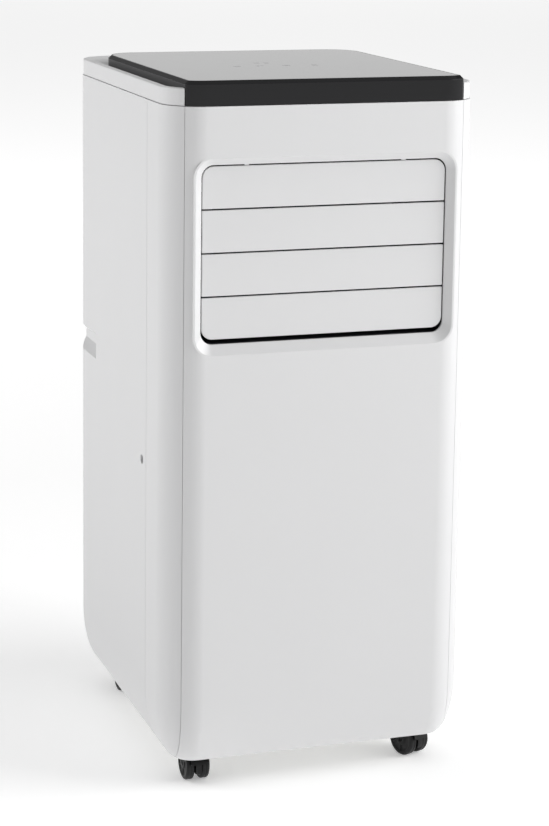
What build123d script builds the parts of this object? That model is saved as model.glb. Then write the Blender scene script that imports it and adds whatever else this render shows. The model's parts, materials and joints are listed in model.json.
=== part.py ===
from build123d import *
import os
from math import cos, radians, sin, sqrt

# A floor-standing portable air conditioner on four twin-wheel casters, in millimetres.
# +Z is up and the outlet faces -Y. The origin is on the floor, below the middle of the body.

# Overall body
width = 314.0
depth = 364.0
corner_r = 38.0
skirt_z = 30.0          # lowest edge of the casings
round_in = 20.0         # the rolled-under skirt: inward
round_up = 60.0         # and upward
seam_z = 676.0          # joint between the casings and the top cover
rim_z = 693.0           # top of the white cover
glass_top = 700.0
wall = 2.5
backing_low = 75.0      # lowest edge of the wall behind the front panel
seam = 0.6              # visible joint between two casings
ribbon_seam = 0.35      # joint beside the front panel
fit = 0.3               # clearance behind covers and around inserts

half_w = width / 2
half_d = depth / 2
front_y = -half_d
ribbon_half = 139.8     # half width of the front panel and of the black control panel
side_seam_y = front_y + 75.0

# Air outlet
outlet_half = 123.5
outlet_bottom = 449.2
outlet_top = 620.6
outlet_r = 12.0
bevel_deep = 6.0
bevel_side = 7.1
bevel_top = 6.7
bevel_bottom = 9.7
bevel_back = 2.0
duct_wall = 2.0
duct_back = -45.0

louvre_count = 4
louvre_pitch = 41.7
louvre_gap = 1.5
louvre_thick = 3.0
louvre_top_gap = 1.4
louvre_side_gap = 1.1
louvre_recess = 0.5
pin_behind = 8.0        # louvre plate's middle to its pin
pin_r = 2.0
crank_r = 1.5
pin_clear = 0.1
crank_throw = 10.0
link_wide = 5.0
link_thick = 2.0

swing_axis = (-120.0, 536.0)
swing_motor_r = 14.0
swing_motor_long = 17.8
swing_ear = 17.5

vane_count = 4
vane_pitch = 62.0
vane_y = -132.0
vane_half = 14.0
vane_thick = 1.6
vane_low = 455.0
vane_high = 606.0

# Control panel
panel_back = 138.0
panel_r = 35.0
glass_thick = 3.0
glass_inset = 4.0       # from the trim's outer face to the glass pocket
glass_ledge = 2.5
trim_chamfer = 3.4
trim_corner = 5.0
housing_floor = 684.5
gutter_z = 687.5
gutter_wide = 11.0
board_z = 690.0

# Fans
fan_wall = 2.0
upper_axis = (0.0, 372.5)
upper_volute_r = 74.0
upper_volute_y = (-115.0, -47.0)
upper_wheel_r = 58.0
upper_inlet_r = 44.0
lower_axis = (20.0, 165.0)
lower_volute_r = 84.0
lower_volute_y = (40.0, 104.0)
lower_wheel_r = 64.0
lower_inlet_r = 48.0
fan_motor_r = 36.0
fan_motor_long = 50.0
fan_shaft_r = 4.0
shaft_clear = 0.05
blade_count = 24

# Mid deck, coils and exhaust
deck_z = 270.0
deck_thick = 3.0
deck_back = 165.0
coil_half = 118.0
coil_y = 140.0
coil_deep = 30.0
tube_r = 4.0
tube_row = 24.0
tube_out = 7.0
condenser_z = (72.0, 262.0)
evaporator_z = (460.0, 655.0)
exhaust_x = (-80.0, 110.0)
exhaust_y = (40.0, 176.0)
exhaust_top = 437.0
collar_z = 361.0
collar_r = 65.0
collar_thick = 3.0
collar_deep = 22.0

# Compressor set
compressor_at = (-72.0, -72.0)
compressor_r = 52.0
compressor_z = (65.0, 215.0)
foot_ring = 62.0
grommet_r = 9.0
accumulator_at = (6.0, -100.0)
accumulator_r = 22.0
accumulator_z = (90.0, 200.0)
suction_r = 4.75
discharge_r = 4.0
liquid_r = 2.5
pipe_bend = 12.0
pipe_side = 140.0

# Base pan and casters
pan_z = 44.0
pan_thick = 3.0
pan_high = 68.0
pan_inset = 10.5
stem_x = 114.0
stem_y = 127.0
stem_r = 4.0
wheel_r = 17.0
wheel_half = 12.0
wheel_inner = 3.5
trail = 7.0
axle_r = 2.5
hood_gap = 0.5
hood_thick = 1.4
hood_half = 8.0
front_right_turn = 20.0
rear_right_turn = -25.0

# Rear intake openings
grille_half = 120.0
upper_grille_z = (462.0, 652.0)
lower_grille_z = (95.0, 262.0)
grille_gap = 0.5
slot_pitch = 10.0
slot_high = 5.0
hinge_y = half_d - 1.25 # pins on the upper grille's lower corners
hinge_z = 463.7
hinge_r = 0.8
hinge_reach = 1.7

# Side grips, screws, drains and cable inlet
grip_z = (380.4, 407.8)
grip_slope = 9.0
grip_deep = 8.5
grip_front = 92.0
screw_r = 4.0
screw_hole_r = 4.75
screw_boss_r = 7.0
shank_r = 1.95
side_screw = (-91.4, 319.0)
rear_screws = [(s * 128.0, z) for s in (-1, 1) for z in (664.0, 448.0, 282.0)]
drain_r = 6.0
plug_head_r = 10.5
tray_drain = (-100.0, 446.5)
pan_drain = (0.0, 57.0)
gland_at = (-100.0, 300.0)
gland_r = 9.0

DONE = {}


def block(x0, x1, y0, y1, z0, z1):
    """A box between two corners."""
    middle = Pos((x0 + x1) / 2, (y0 + y1) / 2, (z0 + z1) / 2)
    return middle * Box(x1 - x0, y1 - y0, z1 - z0)


def rod_x(x0, x1, y, z, r):
    """A cylinder along X."""
    return Pos((x0 + x1) / 2, y, z) * Rot(0, 90, 0) * Cylinder(r, x1 - x0)


def rod_y(y0, y1, x, z, r):
    """A cylinder along Y."""
    return Pos(x, (y0 + y1) / 2, z) * Rot(90, 0, 0) * Cylinder(r, y1 - y0)


def rod_z(z0, z1, x, y, r):
    """A cylinder along Z."""
    return Pos(x, y, (z0 + z1) / 2) * Cylinder(r, z1 - z0)


def slab(inset, z0, z1):
    """The body's plan, moved in by inset, between two heights."""
    plan = RectangleRounded(width - 2 * inset, depth - 2 * inset, corner_r - inset)
    return Pos(0, 0, z0) * extrude(plan, z1 - z0)


def skirt_profile(half, inner, low, top, run_in, run_up):
    """An upright section from inner to half, whose lower outer corner is a quarter ellipse."""
    centre_z = low + run_up
    edges = [
        Line((inner, low), (half - run_in, low)),
        EllipticalCenterArc((half - run_in, centre_z), run_in, run_up, start_angle=-90, arc_size=90),
        Line((half, centre_z), (half, top)),
        Line((half, top), (inner, top)),
        Line((inner, top), (inner, low)),
    ]
    return make_face(edges)


def shell_form(inset, top):
    """The solid inside the body's outer skin, moved in by inset."""
    w, d, r = half_w - inset, half_d - inset, corner_r - inset
    run_in, run_up, low = round_in - inset, round_up - inset, skirt_z + inset
    form = Part()
    for side in (-1, 1):
        across = Plane.XZ * skirt_profile(w, 0, low, top, run_in, run_up)
        across = extrude(across, d - r, both=True)
        along = Plane.YZ * skirt_profile(d, 0, low, top, run_in, run_up)
        along = extrude(along, w - r, both=True)
        if side < 0:
            across, along = Rot(0, 0, 180) * across, Rot(0, 0, 180) * along
        form = form + across + along
    post = revolve(Plane.XZ * skirt_profile(r, 0, low, top, run_in, run_up), Axis.Z)
    for sx in (-1, 1):
        for sy in (-1, 1):
            form = form + Pos(sx * (w - r), sy * (d - r), 0) * post
    return form


def skin(inset, thick, top):
    """A shell of the body, open below and above."""
    return shell_form(inset, top) - shell_form(inset + thick, top + 1) - slab(round_in, 0, skirt_z + round_up)


def front_rect(half, bottom, top, r, y):
    """A rounded rectangle that faces the front, at depth y."""
    plan = RectangleRounded(2 * half, top - bottom, r)
    return Pos(0, y, (bottom + top) / 2) * (Plane.XZ * plan)


def front_prism(half, bottom, top, r, y0, y1):
    """A rounded rectangle extruded back from y0 to y1."""
    return extrude(front_rect(half, bottom, top, r, y0), -(y1 - y0))


def panel_plan(grow):
    """The control panel's outline: body width at the front, rounded corners behind."""
    front = front_y - 60
    back = panel_back + grow
    plan = RectangleRounded(2 * (ribbon_half + grow), back - front, panel_r + grow)
    return Pos(0, (front + back) / 2) * plan


def panel_prism(grow, z0, z1):
    """The control panel's outline between two heights, inside the body's own plan."""
    return Pos(0, 0, z0) * extrude(panel_plan(grow), z1 - z0)


def tube(points, r, bend):
    """A round pipe along straight runs joined by bends."""
    path = FilletPolyline(*points, radius=bend)
    section = Plane(path @ 0, z_dir=path % 0) * Circle(r)
    return sweep(section, path=path)


def keep(name, part):
    """Files a finished sub-part under its node name."""
    DONE[name] = part


# ---------------------------------------------------------------- casings

def bevel_ring():
    """The sunk, bevelled surround of the air outlet, moulded on the front panel."""
    back = front_y + bevel_deep + bevel_back
    half = outlet_half + bevel_side
    low, high = outlet_bottom - bevel_bottom, outlet_top + bevel_top
    ring = front_prism(half + bevel_back, low - bevel_back, high + bevel_back, 20, front_y, back)
    mouth = front_prism(outlet_half, outlet_bottom, outlet_top, outlet_r, front_y, back + 1)
    return ring - bevel_cut() - mouth


def bevel_cut():
    """The tapered mouth of the outlet."""
    half = outlet_half + bevel_side
    low, high = outlet_bottom - bevel_bottom, outlet_top + bevel_top
    mouth = front_rect(half, low, high, 18, front_y)
    throat = front_rect(outlet_half, outlet_bottom, outlet_top, outlet_r, front_y + bevel_deep)
    return loft([mouth.face(), throat.face()])


def front_panel():
    """The smooth front cover, from one corner seam to the other."""
    ribbon = block(-ribbon_half, ribbon_half, front_y - 1, front_y + corner_r, 0, seam_z)
    sheet = skin(0, wall - fit, seam_z) & ribbon
    half = outlet_half + bevel_side
    low, high = outlet_bottom - bevel_bottom, outlet_top + bevel_top
    sheet = sheet - front_prism(half, low, high, 18, front_y - 1, front_y + wall + 1)
    part = sheet + bevel_ring()
    for x in (-79.0, 79.0):
        nub = block(x - 2, x + 2, front_y + bevel_deep, front_y + bevel_deep + bevel_back,
                    outlet_top - 0.9, outlet_top + 1)
        part = part + nub
    return part


def front_casing():
    """The corner shells, joined by a wall behind the front panel."""
    front_half = block(-width, width, front_y - 1, side_seam_y, 0, seam_z)
    shell = skin(0, wall, seam_z) & front_half
    opening = ribbon_half + ribbon_seam
    shell = shell - block(-opening, opening, front_y - 1, front_y + corner_r, 0, seam_z + 1)
    backing = skin(wall, wall, seam_z) & block(
        -ribbon_half - 7, ribbon_half + 7, front_y, front_y + corner_r, backing_low, seam_z)
    part = shell + backing
    half = outlet_half + bevel_side + bevel_back + fit
    low = outlet_bottom - bevel_bottom - bevel_back - fit
    high = outlet_top + bevel_top + bevel_back + fit
    return part - front_prism(half, low, high, 20, front_y - 1, front_y + 20)


def grip_profile(grow):
    """The side grip's section, seen from the rear, for the right-hand side."""
    low, high = grip_z
    deep = half_w - grip_deep - grow
    out = half_w + 4
    spread = grip_slope * (out - deep) / grip_deep
    low_in, high_in = low + grip_slope - grow * 0.6, high - grip_slope + grow * 0.6
    return [(deep, low_in), (out, low_in - spread), (out, high_in + spread), (deep, high_in)]


def grip_solid(grow):
    """The hollow of the side grip, or with grow its liner."""
    face = make_face(Polyline(*grip_profile(grow), close=True))
    start = grip_front - grow
    return Pos(0, half_d + 5, 0) * extrude(Plane.XZ * face, half_d + 5 - start)


def rear_casing():
    """Both sides and the back, with openings for the intakes, exhaust, drains and cable."""
    rear_half = block(-width, width, side_seam_y + seam, half_d + 1, 0, seam_z)
    part = skin(0, wall, seam_z) & rear_half
    body = shell_form(0, seam_z)
    for side in (1, -1):
        liner = grip_solid(wall)
        pocket = grip_solid(0)
        boss = rod_x(half_w - 14, half_w - wall, *side_screw, screw_boss_r)
        hole = rod_x(half_w - 6.5, half_w + 1, *side_screw, screw_hole_r)
        pilot = rod_x(half_w - 15, half_w, *side_screw, shank_r + shaft_clear)
        if side < 0:
            pieces = (liner, pocket, boss, hole, pilot)
            liner, pocket, boss, hole, pilot = [mirror(piece, Plane.YZ) for piece in pieces]
        part = part + (liner & body) - pocket + boss - hole - pilot
    for x, z in rear_screws:
        part = part + rod_y(half_d - 14, half_d - wall, x, z, screw_boss_r)
        part = part - rod_y(half_d - 6.5, half_d + 1, x, z, screw_hole_r)
        part = part - rod_y(half_d - 15, half_d, x, z, shank_r + shaft_clear)
    for low, high in (upper_grille_z, lower_grille_z):
        part = part - block(-grille_half, grille_half, half_d - wall - 1, half_d + 1, low, high)
    reach = grille_half + hinge_reach + fit
    part = part - rod_x(-reach, reach, hinge_y, hinge_z, hinge_r + shaft_clear)
    part = part - rod_y(half_d - wall - 1, half_d + 1, 0, collar_z, collar_r + collar_thick + fit)
    for x, z in (tray_drain, pan_drain):
        part = part - rod_y(half_d - 25, half_d + 1, x, z, plug_head_r + 1)
    return part - rod_y(half_d - wall - 1, half_d + 1, gland_at[0], gland_at[1], gland_r + shaft_clear)


def top_cover():
    """The white cap: a rim, a gutter round the control panel and a ledge that carries it."""
    low = seam_z + seam
    part = slab(0.8, low, rim_z)
    part = fillet(part.edges().group_by(Axis.Z)[-1], 1.5)
    ledge = housing_floor - 2.5
    part = part - slab(wall + 0.8, low - 1, ledge)
    channel = slab(wall + 0.8, ledge - 1, housing_floor + 0.7) - panel_prism(fit + 2, ledge - 2, rim_z)
    part = part - channel
    front_cut = front_y + 6
    low_back, low_front = panel_back + fit, front_cut + gutter_wide
    low_plan = RectangleRounded(2 * (ribbon_half + fit), low_back - low_front, panel_r)
    well_low = Pos(0, (low_front + low_back) / 2, gutter_z) * low_plan
    back = panel_back + fit + gutter_wide
    high_plan = RectangleRounded(2 * (ribbon_half + gutter_wide), back - front_cut, corner_r - 6)
    well_high = Pos(0, (front_cut + back) / 2, rim_z + 0.01) * high_plan
    part = part - loft([well_low.face(), well_high.face()])
    part = part - panel_prism(fit, housing_floor, rim_z + 1)
    part = part - block(-ribbon_half - fit, ribbon_half + fit, front_y - 1, front_y + 34, 0, rim_z + 1)
    part = part - block(-110, 110, front_y + 34, 100, 0, rim_z + 1)
    return part


def base_pan():
    """The tray that carries the machinery, with caster sockets and a drain spout."""
    part = slab(pan_inset, pan_z, pan_high) - slab(pan_inset + wall, pan_z + pan_thick, pan_high + 1)
    for sx in (-1, 1):
        for sy in (-1, 1):
            part = part + rod_z(pan_z - 6, pan_z + 20, sx * stem_x, sy * stem_y, 8)
            part = part - rod_z(pan_z - 7, pan_z + 18, sx * stem_x, sy * stem_y, stem_r + shaft_clear)
    x, z = pan_drain
    pan_edge = half_d - pan_inset
    part = part + rod_y(pan_edge - 1, pan_edge + 3.5, x, z, drain_r + 2)
    return part - rod_y(pan_edge - 4, pan_edge + 5, x, z, drain_r)


# ---------------------------------------------------------------- control panel

def trim_form():
    """The control panel's solid outline, with rounded front corners and a chamfered top."""
    form = panel_prism(0, seam_z + seam, glass_top) & slab(0, seam_z + seam, glass_top)
    upright = form.edges().filter_by(Axis.Z)
    front = [e for e in upright if e.center().Y < front_y + 20 and abs(e.center().X) > ribbon_half - 1]
    form = fillet(front, trim_corner)
    return chamfer(form.edges().group_by(Axis.Z)[-1], trim_chamfer)


def inner_plan(inset, z0, z1):
    """The control panel's outline moved in by inset, between two heights."""
    return panel_prism(-inset, z0, z1) & slab(inset, z0, z1)


def control_housing():
    """The black tray round the glass, with the strip that shows across the front."""
    under_glass = glass_top - glass_thick
    form = trim_form()
    part = form & block(-width, width, -depth, depth, housing_floor, glass_top)
    part = part - inner_plan(glass_inset, under_glass, glass_top + 1)
    part = part - inner_plan(glass_inset + glass_ledge, housing_floor + 2, under_glass + 1)
    strip = form & block(-width, width, front_y - 1, front_y + 33.5, 0, housing_floor)
    part = part + (strip - slab(2.2, 0, glass_top))
    for x in (-62.0, 42.0):
        for y in (-96.0, 6.0):
            part = part + rod_z(housing_floor + 1, board_z, x, y, 3)
    return part


def touch_glass():
    """The dark glass top."""
    part = inner_plan(glass_inset + fit, glass_top - glass_thick, glass_top)
    return chamfer(part.edges().group_by(Axis.Z)[-1], 0.3)


def control_board():
    """The touch and display board, with its display and key sensors."""
    part = block(-66, 46, -100, 10, board_z, board_z + 1.6)
    part = part + block(-32, -4, -24, -6, board_z + 1.6, board_z + 5)
    for x in (-48.0, -24.0, 4.0, 34.0):
        part = part + rod_z(board_z + 1.6, board_z + 5, x, -44, 6)
    return part


# ---------------------------------------------------------------- louvres and vanes

louvre_high = louvre_pitch - louvre_gap
louvre_y0 = front_y + bevel_deep + louvre_recess
louvre_half = outlet_half - louvre_side_gap
pin_y = louvre_y0 + louvre_thick / 2 + pin_behind
louvre_z = [outlet_top - louvre_top_gap - louvre_high / 2 - i * louvre_pitch for i in range(louvre_count)]
duct_side = outlet_half + duct_wall
crank_x = duct_side + 2.3
link_x = crank_x + 2.5
crank_y = pin_y + crank_throw
vane_x = [(i - (vane_count - 1) / 2) * vane_pitch for i in range(vane_count)]


def crank(y, z):
    """A crank arm and its pin, outside the duct's right wall."""
    arm = block(crank_x, crank_x + 2, y - 2.5, y + crank_throw + 2.5, z - 2.5, z + 2.5)
    return arm + rod_x(crank_x + 1, crank_x + 5.2, y + crank_throw, z, crank_r)


def louvre(index):
    """One horizontal louvre, with its end lugs, pins and crank."""
    z = louvre_z[index]
    low, high = z - louvre_high / 2, z + louvre_high / 2
    plate = block(-louvre_half, louvre_half, louvre_y0, louvre_y0 + louvre_thick, low, high)
    upright = plate.edges().filter_by(Axis.Y)
    if index == 0:
        plate = fillet(upright.group_by(Axis.Z)[-1], outlet_r - louvre_side_gap)
    if index == louvre_count - 1:
        plate = fillet(upright.group_by(Axis.Z)[0], outlet_r - louvre_side_gap)
    for side in (-1, 1):
        x0, x1 = sorted((side * (louvre_half - 2.2), side * louvre_half))
        plate = plate + block(x0, x1, louvre_y0 + 1, pin_y + 3, z - 4, z + 4)
    plate = plate + rod_x(-duct_side - 0.5, -louvre_half + 1, pin_y, z, pin_r)
    plate = plate + rod_x(louvre_half - 1, crank_x + 1, pin_y, z, pin_r)
    return plate + crank(pin_y, z)


def louvre_link():
    """The bar that keeps the four louvres parallel and takes the swing motor's drive."""
    x0, x1 = link_x, link_x + link_thick
    half = link_wide / 2
    top = louvre_z[0] - 20.6
    motor_pin = (swing_axis[0] + crank_throw, swing_axis[1])
    part = block(x0, x1, crank_y - half, crank_y + half, louvre_z[-1] - 4, louvre_z[0] + 4)
    part = part + block(x0, x1, crank_y - half, motor_pin[0] + half, top - 3, top + 3)
    part = part + block(x0, x1, motor_pin[0] - half, motor_pin[0] + half, motor_pin[1] - 3, top + 3)
    for y, z in [(crank_y, z) for z in louvre_z] + [motor_pin]:
        part = part - rod_x(x0 - 1, x1 + 1, y, z, crank_r + pin_clear)
    return part


motor_x = duct_side + 8.7


def swing_motor():
    """The small geared motor that swings the louvres."""
    y, z = swing_axis
    part = rod_x(motor_x, motor_x + swing_motor_long, y, z, swing_motor_r)
    part = part + block(motor_x, motor_x + 1.8, y - swing_ear - 3.5, y + swing_ear + 3.5, z - 4, z + 4)
    return part - rod_x(motor_x - 1, motor_x + 6, y, z, 2.5 + shaft_clear)


def swing_crank():
    """The swing motor's output shaft and crank."""
    y, z = swing_axis
    return rod_x(crank_x, motor_x + 5, y, z, 2.5) + crank(y, z)


def outlet_duct():
    """The box behind the louvres that turns the cooled air forward."""
    y0 = front_y + bevel_deep + bevel_back
    low, high = outlet_bottom - duct_wall, outlet_top + duct_wall
    part = block(-duct_side, duct_side, y0, duct_back, low, high)
    part = part - block(-outlet_half, outlet_half, y0 - 1, duct_back - duct_wall, outlet_bottom, outlet_top)
    throat = upper_volute_r - fan_wall
    near, far = upper_volute_y[0] + fan_wall, upper_volute_y[1] - fan_wall
    part = part - block(fan_wall, throat, near, far, low - 1, low + 5)
    for z in louvre_z:
        part = part - rod_x(-duct_side - 1, duct_side + 1, pin_y, z, pin_r + pin_clear)
    for x in vane_x:
        part = part - rod_z(low - 1, high + 1, x, vane_y, pin_r + pin_clear)
    for dy in (-swing_ear, swing_ear):
        part = part + rod_x(duct_side - 1, motor_x, swing_axis[0] + dy, swing_axis[1], 3)
    return part


def vane(index):
    """One upright vane, with its pivot pins and link pin."""
    x = vane_x[index]
    thin = vane_thick / 2
    part = block(x - thin, x + thin, vane_y - vane_half, vane_y + vane_half, vane_low, vane_high)
    part = part + rod_z(outlet_bottom - duct_wall, vane_low + 6, x, vane_y, pin_r)
    part = part + rod_z(vane_high - 6, outlet_top + duct_wall, x, vane_y, pin_r)
    return part + rod_z(vane_high - 6, vane_high + 6.5, x, vane_y + crank_throw, crank_r)


def vane_link():
    """The bar that keeps the upright vanes parallel."""
    y = vane_y + crank_throw
    part = block(vane_x[0] - 4, vane_x[-1] + 4, y - 3, y + 3, vane_high + 2, vane_high + 4.5)
    for x in vane_x:
        part = part - rod_z(vane_high, vane_high + 6, x, y, crank_r + pin_clear)
    return part


# ---------------------------------------------------------------- fans

def volute(axis, r, span, inlet_r, exit_top):
    """A fan housing with a round inlet at the back and an exit that rises on the right."""
    x, z = axis
    y0, y1 = span
    w = fan_wall
    part = rod_y(y0, y1, x, z, r) + block(x, x + r, y0, y1, z, exit_top)
    inner = rod_y(y0 + w, y1 - w, x, z, r - w) + block(x + w, x + r - w, y0 + w, y1 - w, z, exit_top + 1)
    part = part - inner - rod_y(y1 - w - 1, y1 + 1, x, z, inlet_r)
    return part - rod_y(y0 - 1, y0 + w + 1, x, z, fan_shaft_r + 2)


def fan_wheel(axis, r, span, depth_in):
    """A forward-curved centrifugal wheel: hub, back plate, blades and front ring."""
    x, z = axis
    y0, y1 = span[0] + depth_in, span[1] - depth_in - fan_wall
    part = rod_y(y0, y0 + 2, x, z, r) + rod_y(y0, y0 + 30, x, z, 13)
    chord = 15.0
    ring = rod_y(y1 - 3, y1, x, z, r) - rod_y(y1 - 4, y1 + 1, x, z, r - chord)
    part = part + ring
    for i in range(blade_count):
        blade = Pos(0, (y0 + y1) / 2, r - chord / 2 - 0.4) * Rot(0, 22, 0) * Box(1.6, y1 - y0 - 1, chord)
        part = part + Pos(x, 0, z) * Rot(0, i * 360 / blade_count, 0) * blade
    return part - rod_y(y0 - 1, y0 + 31, x, z, fan_shaft_r)


def fan_motor(axis, mount_y):
    """A fan motor bolted to the front of its housing."""
    x, z = axis
    part = rod_y(mount_y - fan_motor_long, mount_y, x, z, fan_motor_r)
    part = fillet(part.edges().group_by(Axis.Y)[0], 6)
    return part - rod_y(mount_y - fan_motor_long + 8, mount_y + 1, x, z, fan_shaft_r + shaft_clear)


def fan_shaft(axis, mount_y, wheel_y):
    """The shaft from the motor into the wheel's hub."""
    x, z = axis
    return rod_y(mount_y - fan_motor_long + 9, wheel_y + 30, x, z, fan_shaft_r)


# ---------------------------------------------------------------- cooling circuit

def coil(span):
    """A finned coil: fin pack, end plates and two columns of tubes."""
    z0, z1 = span
    y0, y1 = coil_y - coil_deep / 2, coil_y + coil_deep / 2
    part = block(-coil_half, coil_half, y0, y1, z0, z1)
    for z in coil_rows(span):
        for y in (coil_y - 7, coil_y + 7):
            part = part + rod_x(-coil_half - tube_out, coil_half + tube_out, y, z, tube_r)
    return part


def coil_rows(span):
    """Heights of a coil's tubes."""
    z0, z1 = span
    count = int((z1 - z0 - 12) // tube_row) + 1
    return [z0 + 12 + i * tube_row for i in range(count)]


tube_end = coil_half + tube_out


def compressor():
    """The sealed compressor, with its three-armed foot."""
    x, y = compressor_at
    part = rod_z(compressor_z[0], compressor_z[1], x, y, compressor_r)
    part = fillet(part.edges().group_by(Axis.Z)[-1], 22)
    part = fillet(part.edges().group_by(Axis.Z)[0], 10)
    for i in range(3):
        arm = block(0, foot_ring + grommet_r, -grommet_r, grommet_r, compressor_z[0] - 3, compressor_z[0])
        part = part + Pos(x, y, 0) * Rot(0, 0, 90 + 120 * i) * arm
    part = part + Pos(x, y, 0) * rod_z(compressor_z[0] - 3, compressor_z[0] + 2, 0, 0, compressor_r - 9)
    return part


def compressor_mounts():
    """Three rubber mounts between the foot and the pan."""
    x, y = compressor_at
    group = []
    for i in range(3):
        a = radians(90 + 120 * i)
        at = (x + foot_ring * cos(a), y + foot_ring * sin(a))
        group.append(rod_z(pan_z + pan_thick, compressor_z[0] - 3, at[0], at[1], grommet_r - 1))
    return Compound(children=group)


def accumulator():
    """The suction accumulator beside the compressor, with its short elbow."""
    x, y = accumulator_at
    part = rod_z(accumulator_z[0], accumulator_z[1], x, y, accumulator_r)
    part = fillet(part.edges().group_by(Axis.Z)[-1], 9)
    part = fillet(part.edges().group_by(Axis.Z)[0], 9)
    dx, dy = compressor_at[0] - x, compressor_at[1] - y
    far = sqrt(dx * dx + dy * dy)
    reach = far - compressor_r - 0.1
    end = (x + dx / far * reach, y + dy / far * reach, accumulator_z[0] - 9)
    elbow = tube([(x, y, accumulator_z[0] + 5), (x, y, end[2]), end], suction_r, pipe_bend)
    return part + elbow


def suction_pipe():
    """Cold gas: from the evaporator down to the accumulator."""
    x, y = accumulator_at
    level = deck_z + 22
    row = coil_rows(evaporator_z)[0]
    back = coil_y - 7
    points = [(x, y, accumulator_z[1]), (x, y, level), (-pipe_side, y, level), (-pipe_side, back, level),
              (-pipe_side, back, row), (-tube_end, back, row)]
    return tube(points, suction_r, pipe_bend)


def discharge_pipe():
    """Hot gas: from the compressor to the condenser."""
    x, y = compressor_at[0] - 13, compressor_at[1] + 12
    row = coil_rows(condenser_z)[-1]
    back = coil_y - 7
    level = compressor_z[1] + 34
    points = [(x, y, compressor_z[1]), (x, y, level), (-pipe_side, y, level), (-pipe_side, back, level),
              (-pipe_side, back, row), (-tube_end, back, row)]
    if abs(row - level) < 30:
        points = [(x, y, compressor_z[1]), (x, y, row), (-pipe_side, y, row), (-pipe_side, back, row),
                  (-tube_end, back, row)]
    return tube(points, discharge_r, pipe_bend)


def liquid_line():
    """The liquid line up the right side, with its filter drier."""
    x = pipe_side + 2
    low, high = coil_rows(condenser_z)[0], coil_rows(evaporator_z)[-1]
    back = coil_y - 7
    points = [(tube_end, back, low), (x, back, low), (x, back, high), (tube_end, back, high)]
    return tube(points, liquid_r, pipe_bend) + rod_z(low + 40, low + 110, x, back, 9)


def mid_deck():
    """The shelf between the hot lower bay and the cold upper bay."""
    top = deck_z + deck_thick
    outline = RectangleRounded(width - 2 * wall, 2 * (half_d - 2 * wall), 48)
    plan = Pos(0, 0, deck_z) * extrude(outline, deck_thick)
    part = plan - block(-width, width, deck_back, half_d, 0, seam_z)
    x = lower_axis[0]
    y0, y1 = lower_volute_y
    w = fan_wall
    part = part - block(x + w, x + lower_volute_r - w, y0 + w, y1 - w, deck_z - 1, top + 1)
    part = part - rod_z(deck_z - 1, top + 1, accumulator_at[0], accumulator_at[1], suction_r + 3)
    return part - rod_z(deck_z - 1, top + 1, pipe_side + 2, coil_y - 7, liquid_r + 2.5)


def drip_tray():
    """The tray under the evaporator, with its drain spout to the back."""
    low = exhaust_top
    y0, y1 = coil_y - coil_deep / 2 - 6, coil_y + coil_deep / 2 + 6
    top = evaporator_z[0] - 2
    part = block(-124, 124, y0, y1, low, top) - block(-122, 122, y0 + 2, y1 - 2, low + 2, top + 1)
    for x in (-90.0, 0.0, 90.0):
        part = part + block(x - 4, x + 4, y0 + 6, y1 - 6, low + 1, evaporator_z[0])
    x, z = tray_drain
    part = part + rod_y(y1 - 1, half_d - wall, x, z, drain_r + 2)
    return part - rod_y(y1 - 3, half_d, x, z, drain_r)


def exhaust_duct():
    """The box that takes hot air from the lower fan to the exhaust collar."""
    x0, x1 = exhaust_x
    y0, y1 = exhaust_y
    low = deck_z + deck_thick
    w = fan_wall
    part = block(x0, x1, y0, y1, low, exhaust_top)
    part = part - block(x0 + w, x1 - w, y0 + w, y1 - w, low + w, exhaust_top - w)
    x = lower_axis[0]
    v0, v1 = lower_volute_y
    part = part - block(x + w, x + lower_volute_r - w, v0 + w, v1 - w, low - 1, low + w + 1)
    return part - rod_y(y1 - w - 1, y1 + 1, 0, collar_z, collar_r + collar_thick + fit)


def exhaust_collar():
    """The round socket that takes the exhaust hose, flush with the back."""
    outer = collar_r + collar_thick
    part = rod_y(half_d - collar_deep, half_d, 0, collar_z, outer)
    part = part + rod_y(exhaust_y[1], half_d - wall, 0, collar_z, outer + 6)
    return part - rod_y(half_d - collar_deep - 1, half_d + 1, 0, collar_z, collar_r)


# ---------------------------------------------------------------- rear fittings

def grille(span):
    """An intake grille of level slots, flush in the rear casing."""
    low, high = span[0] + grille_gap, span[1] - grille_gap
    half = grille_half - grille_gap
    y0, y1 = half_d - wall + 0.1, half_d - 0.1
    part = block(-half, half, y0, y1, low, high)
    count = int((high - low - 16) // slot_pitch)
    start = (low + high) / 2 - (count - 1) * slot_pitch / 2
    for i in range(count):
        z = start + i * slot_pitch
        for x0, x1 in ((-half + 9, -4), (4, half - 9)):
            part = part - block(x0, x1, y0 - 1, y1 + 1, z - slot_high / 2, z + slot_high / 2)
    return part


def upper_grille():
    """The hinged upper grille, with the lugs that hold its filter."""
    part = grille(upper_grille_z)
    y0 = half_d - wall + 0.1
    for x in (-114.0, 114.0):
        for z in (upper_grille_z[0] + 5, upper_grille_z[1] - 5):
            part = part + rod_y(y0 - 0.8, y0 + 1, x, z, 2.5)
    reach = grille_half + hinge_reach
    for x0, x1 in ((-reach, -grille_half + 2), (grille_half - 2, reach)):
        part = part + rod_x(x0, x1, hinge_y, hinge_z, hinge_r)
    return part


def air_filter():
    """The washable filter behind the upper grille: a frame and its mesh."""
    y1 = half_d - wall - 0.7
    low, high = upper_grille_z[0] + 3, upper_grille_z[1] - 3
    half = grille_half - 4
    part = block(-half, half, y1 - 2.5, y1, low, high)
    part = part - block(-half + 8, half - 8, y1 - 3, y1 + 1, low + 8, high - 8)
    part = part + block(-half + 7, half - 7, y1 - 1.6, y1 - 1.0, low + 7, high - 7)
    for x in (-54.0, 0.0, 54.0):
        part = part + block(x - 1.5, x + 1.5, y1 - 2.5, y1 - 1.2, low + 4, high - 4)
    return part


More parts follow.
